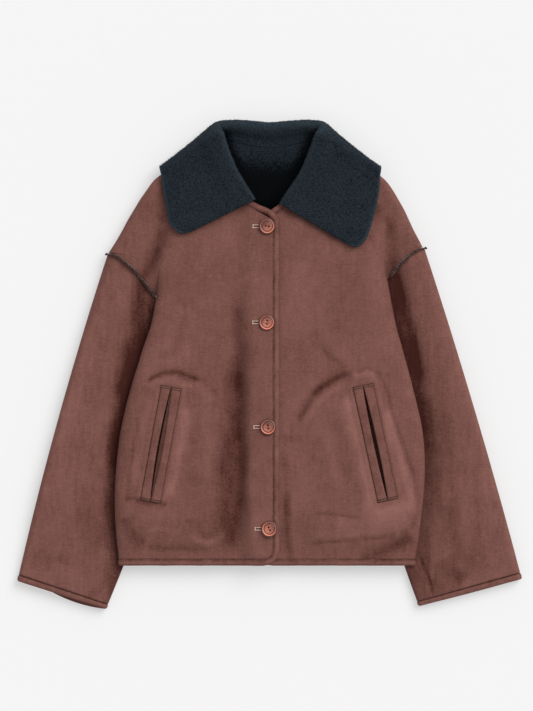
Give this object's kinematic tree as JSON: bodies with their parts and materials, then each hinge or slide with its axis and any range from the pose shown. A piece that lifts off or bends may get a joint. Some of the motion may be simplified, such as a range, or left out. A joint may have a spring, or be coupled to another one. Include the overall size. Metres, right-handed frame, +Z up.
{
  "type": "buttoned suede jacket with a fleece collar, laid flat",
  "caption": "Hip-length buttoned jacket in brown suede bonded to dark fleece, laid flat: wide turned-down collar, long sleeves, slanted welt pockets and bound edges.",
  "frame": {"origin": "on the surface that the jacket lies on, under the middle of its outline", "axes": "+X towards the wearer's left sleeve, which is the viewer's right, across both sleeves; +Y from the hem towards the collar; +Z up from the surface, out of the jacket's front"},
  "size_m": [0.7563, 0.7344, 0.0503],
  "materials": {
    "brown_suede": "napped suede, matt",
    "brown_binding": "folded suede strip, matt",
    "teal_fleece": "curly sherpa pile, matt",
    "brown_button": "turned and varnished, satin"
  },
  "bodies": {
    "root": {"back": "brown_suede", "front_right": "brown_suede", "front_left": "brown_suede", "sleeve_right": "brown_suede", "sleeve_left": "brown_suede", "collar": "teal_fleece", "front_binding_right": "brown_binding", "front_binding_left": "brown_binding", "back_binding": "brown_binding", "cuff_binding_right": "brown_binding", "cuff_binding_left": "brown_binding", "armhole_ridge_right": "teal_fleece", "armhole_ridge_left": "teal_fleece", "pocket_welt_right_outer": "brown_binding", "pocket_welt_right_inner": "brown_binding", "pocket_welt_left_outer": "brown_binding", "pocket_welt_left_inner": "brown_binding", "pocket_bag_right": "brown_suede", "pocket_bag_left": "brown_suede", "button_1": "brown_button", "button_2": "brown_button", "button_3": "brown_button", "button_4": "brown_button"}
  },
  "joints": []
}
